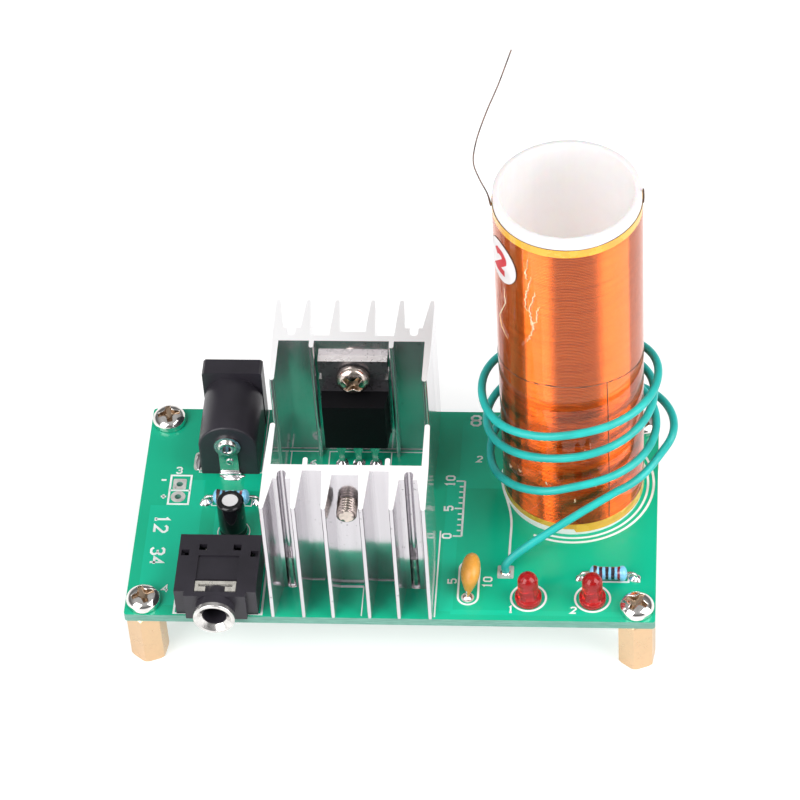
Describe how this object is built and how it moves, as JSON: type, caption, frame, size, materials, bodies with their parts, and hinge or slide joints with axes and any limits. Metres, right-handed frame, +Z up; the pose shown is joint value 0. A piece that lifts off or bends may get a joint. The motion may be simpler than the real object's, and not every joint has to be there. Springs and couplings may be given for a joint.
{
  "type": "desktop resonant transformer",
  "caption": "Small circuit board on brass posts with finned heat sinks, two sockets, indicator lamps, a tall wound secondary coil and a loose primary winding round its foot.",
  "frame": {"origin": "on the surface the posts stand on, midway between the four posts' threaded holes", "axes": "+X along the board's long side towards the coil, +Y towards the edge with the power socket, +Z up"},
  "size_m": [0.0808, 0.0449, 0.0959],
  "materials": {
    "board_laminate": "green solder mask over glass laminate",
    "brass": "turned, satin",
    "bright_steel": "polished plating",
    "solder": "tin-lead, bright",
    "black_moulding": "semi-gloss moulding",
    "tinned_metal": "tinned",
    "aluminium": "extruded, satin",
    "black_resin": "moulded epoxy",
    "blue_lacquer": "lacquer with colour bands",
    "black_sleeve": "shrunk sleeve",
    "rubber": "moulded",
    "ochre_coating": "dipped resin",
    "red_lens": "translucent resin",
    "white_tube": "plastic tube",
    "copper": "enamelled copper",
    "yellow_tape": "polyester tape",
    "turquoise_insulation": "smooth insulation",
    "white_label": "paper label, plain"
  },
  "bodies": {
    "board": {"circuit_board": "board_laminate", "board_posts": "brass", "board_screws": "bright_steel", "solder_joints": "solder", "power_jack_housing": "black_moulding", "power_jack_pin": "bright_steel", "power_jack_rear_terminal": "tinned_metal", "power_jack_sleeve_terminal": "tinned_metal", "audio_jack_housing": "black_moulding", "audio_jack_bushing": "bright_steel", "audio_jack_ground_clip": "tinned_metal", "audio_jack_terminals": "tinned_metal", "front_heat_sink": "aluminium", "rear_heat_sink": "aluminium", "heat_sink_pins": "tinned_metal", "front_transistor_tab": "tinned_metal", "front_transistor_body": "black_resin", "rear_transistor_tab": "tinned_metal", "rear_transistor_body": "black_resin", "transistor_leads": "tinned_metal", "transistor_screws": "bright_steel", "left_resistor_body": "blue_lacquer", "right_resistor_body": "blue_lacquer", "resistor_leads": "tinned_metal", "electrolytic_sleeve": "black_sleeve", "electrolytic_can": "aluminium", "electrolytic_bung": "rubber", "electrolytic_leads": "tinned_metal", "drop_capacitor_body": "ochre_coating", "drop_capacitor_leads": "tinned_metal", "left_indicator_lens": "red_lens", "right_indicator_lens": "red_lens", "indicator_leads": "tinned_metal", "secondary_former": "white_tube", "secondary_winding": "copper", "upper_tape_band": "yellow_tape", "lower_tape_band": "yellow_tape", "secondary_top_wire": "copper", "secondary_foot_wire": "copper", "primary_winding": "turquoise_insulation", "primary_bare_ends": "tinned_metal", "round_label": "white_label"},
    "power_spring": {"power_jack_sleeve_spring": "tinned_metal"},
    "audio_tip": {"audio_jack_tip_spring": "tinned_metal"},
    "audio_ring": {"audio_jack_ring_spring": "tinned_metal"}
  },
  "joints": [
    {"name": "power_sleeve_contact", "type": "hinge", "parent": "board", "child": "power_spring", "pos_m": [-0.02563, 0.01245, 0.01235], "axis": [1, 0, 0], "range_deg": [-6, 0], "stiffness_Nm_per_rad": 0.02},
    {"name": "audio_tip_contact", "type": "hinge", "parent": "board", "child": "audio_tip", "pos_m": [-0.02952, -0.01665, 0.0131], "axis": [0, 0, 1], "range_deg": [0, 8], "stiffness_Nm_per_rad": 0.02},
    {"name": "audio_ring_contact", "type": "hinge", "parent": "board", "child": "audio_ring", "pos_m": [-0.02042, -0.01095, 0.0131], "axis": [0, 0, 1], "range_deg": [0, 8], "stiffness_Nm_per_rad": 0.02}
  ]
}
